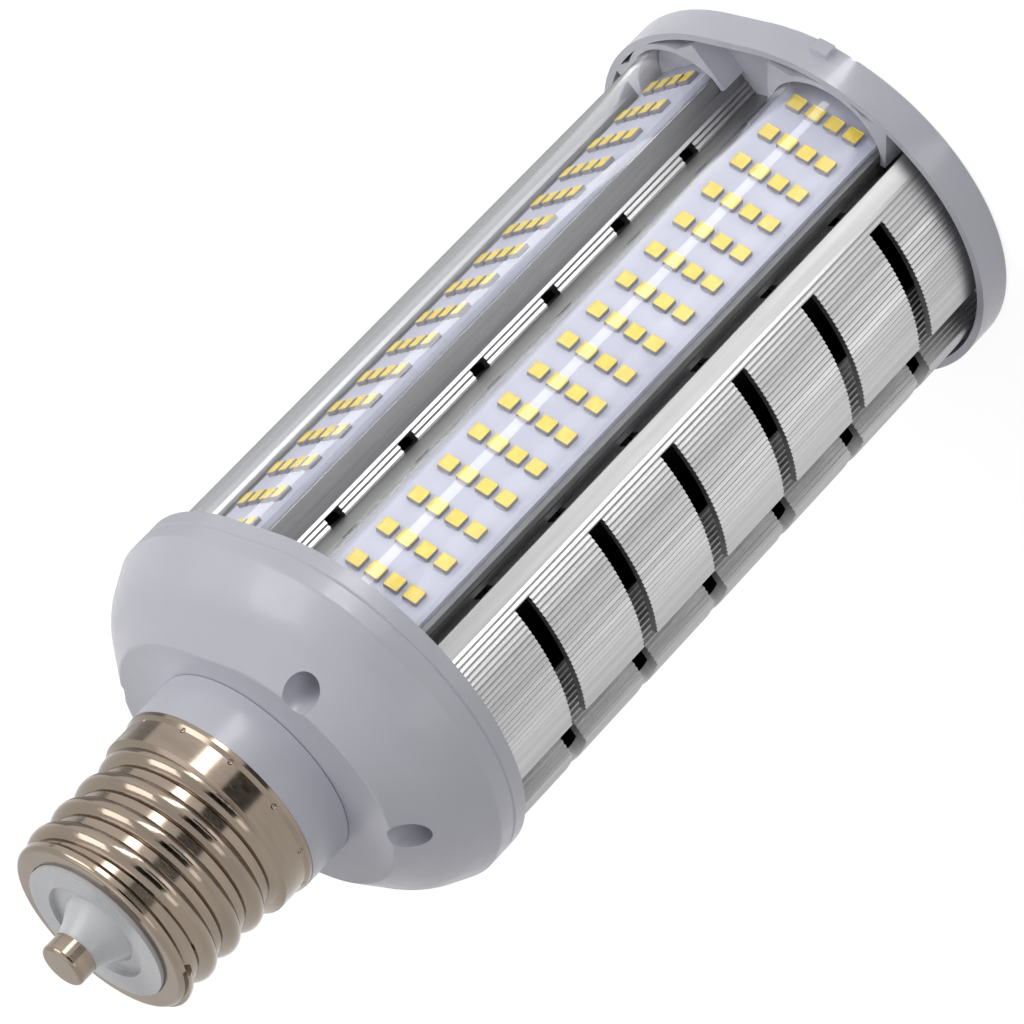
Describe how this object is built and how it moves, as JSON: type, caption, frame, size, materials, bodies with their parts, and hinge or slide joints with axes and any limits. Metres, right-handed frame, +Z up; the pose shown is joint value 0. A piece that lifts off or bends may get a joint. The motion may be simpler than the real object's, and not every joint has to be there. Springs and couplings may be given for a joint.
{
  "type": "directional led lamp with mogul screw base",
  "caption": "Oval LED lamp with arched clear covers over angled LED panels, a ribbed and slotted heat sink, a white housing and a screw base that swivels.",
  "frame": {"origin": "centre of the flat end face of the end cap", "axes": "+Z up the lamp's axis from the end cap to the screw base, -Y the way the LED panels look"},
  "size_m": [0.0896, 0.0786, 0.218],
  "materials": {
    "white_plastic": "moulded, satin",
    "nickel": "nickel plate, bright",
    "insulator": "moulded, satin",
    "sink_aluminium": "extruded, fine ribs",
    "carrier_aluminium": "extruded, satin",
    "led_board": "white solder mask",
    "led_chip": "yellow phosphor in a cream package",
    "clear_cover": "clear polycarbonate, polished",
    "screw_steel": "zinc plate",
    "black_plastic": "insulating tube",
    "circuit_board": "solder mask",
    "ferrite": "ferrite",
    "winding": "taped winding",
    "capacitor": "plastic jacket",
    "terminal": "moulded",
    "live_wire": "wire jacket",
    "neutral_wire": "wire jacket",
    "output_wire": "wire jacket"
  },
  "bodies": {
    "lamp": {"driver_housing": "white_plastic", "housing_rim": "white_plastic", "end_cap": "white_plastic", "heat_sink": "sink_aluminium", "housing_screws": "screw_steel", "rim_screws": "screw_steel", "cap_screws": "screw_steel", "driver_sleeve": "black_plastic", "driver_board": "circuit_board", "transformer_core": "ferrite", "transformer_winding": "winding", "bulk_capacitors": "capacitor", "filter_choke": "winding", "bridge_rectifier": "ferrite", "terminal_block": "terminal", "left_led_carrier": "carrier_aluminium", "left_led_board": "led_board", "left_led_chips": "led_chip", "left_clear_cover": "clear_cover", "left_output_lead": "output_wire", "right_led_carrier": "carrier_aluminium", "right_led_board": "led_board", "right_led_chips": "led_chip", "right_clear_cover": "clear_cover", "right_output_lead": "output_wire"},
    "base": {"centre_contact": "nickel", "contact_insulator": "insulator", "screw_shell": "nickel", "base_collar": "white_plastic", "swivel_retainer": "white_plastic", "live_lead": "live_wire", "neutral_lead": "neutral_wire"}
  },
  "joints": [
    {"name": "base_swivel", "type": "hinge", "parent": "lamp", "child": "base", "pos_m": [0, 0, 0.1655], "axis": [0, 0, 1], "range_deg": [-170, 170]}
  ]
}
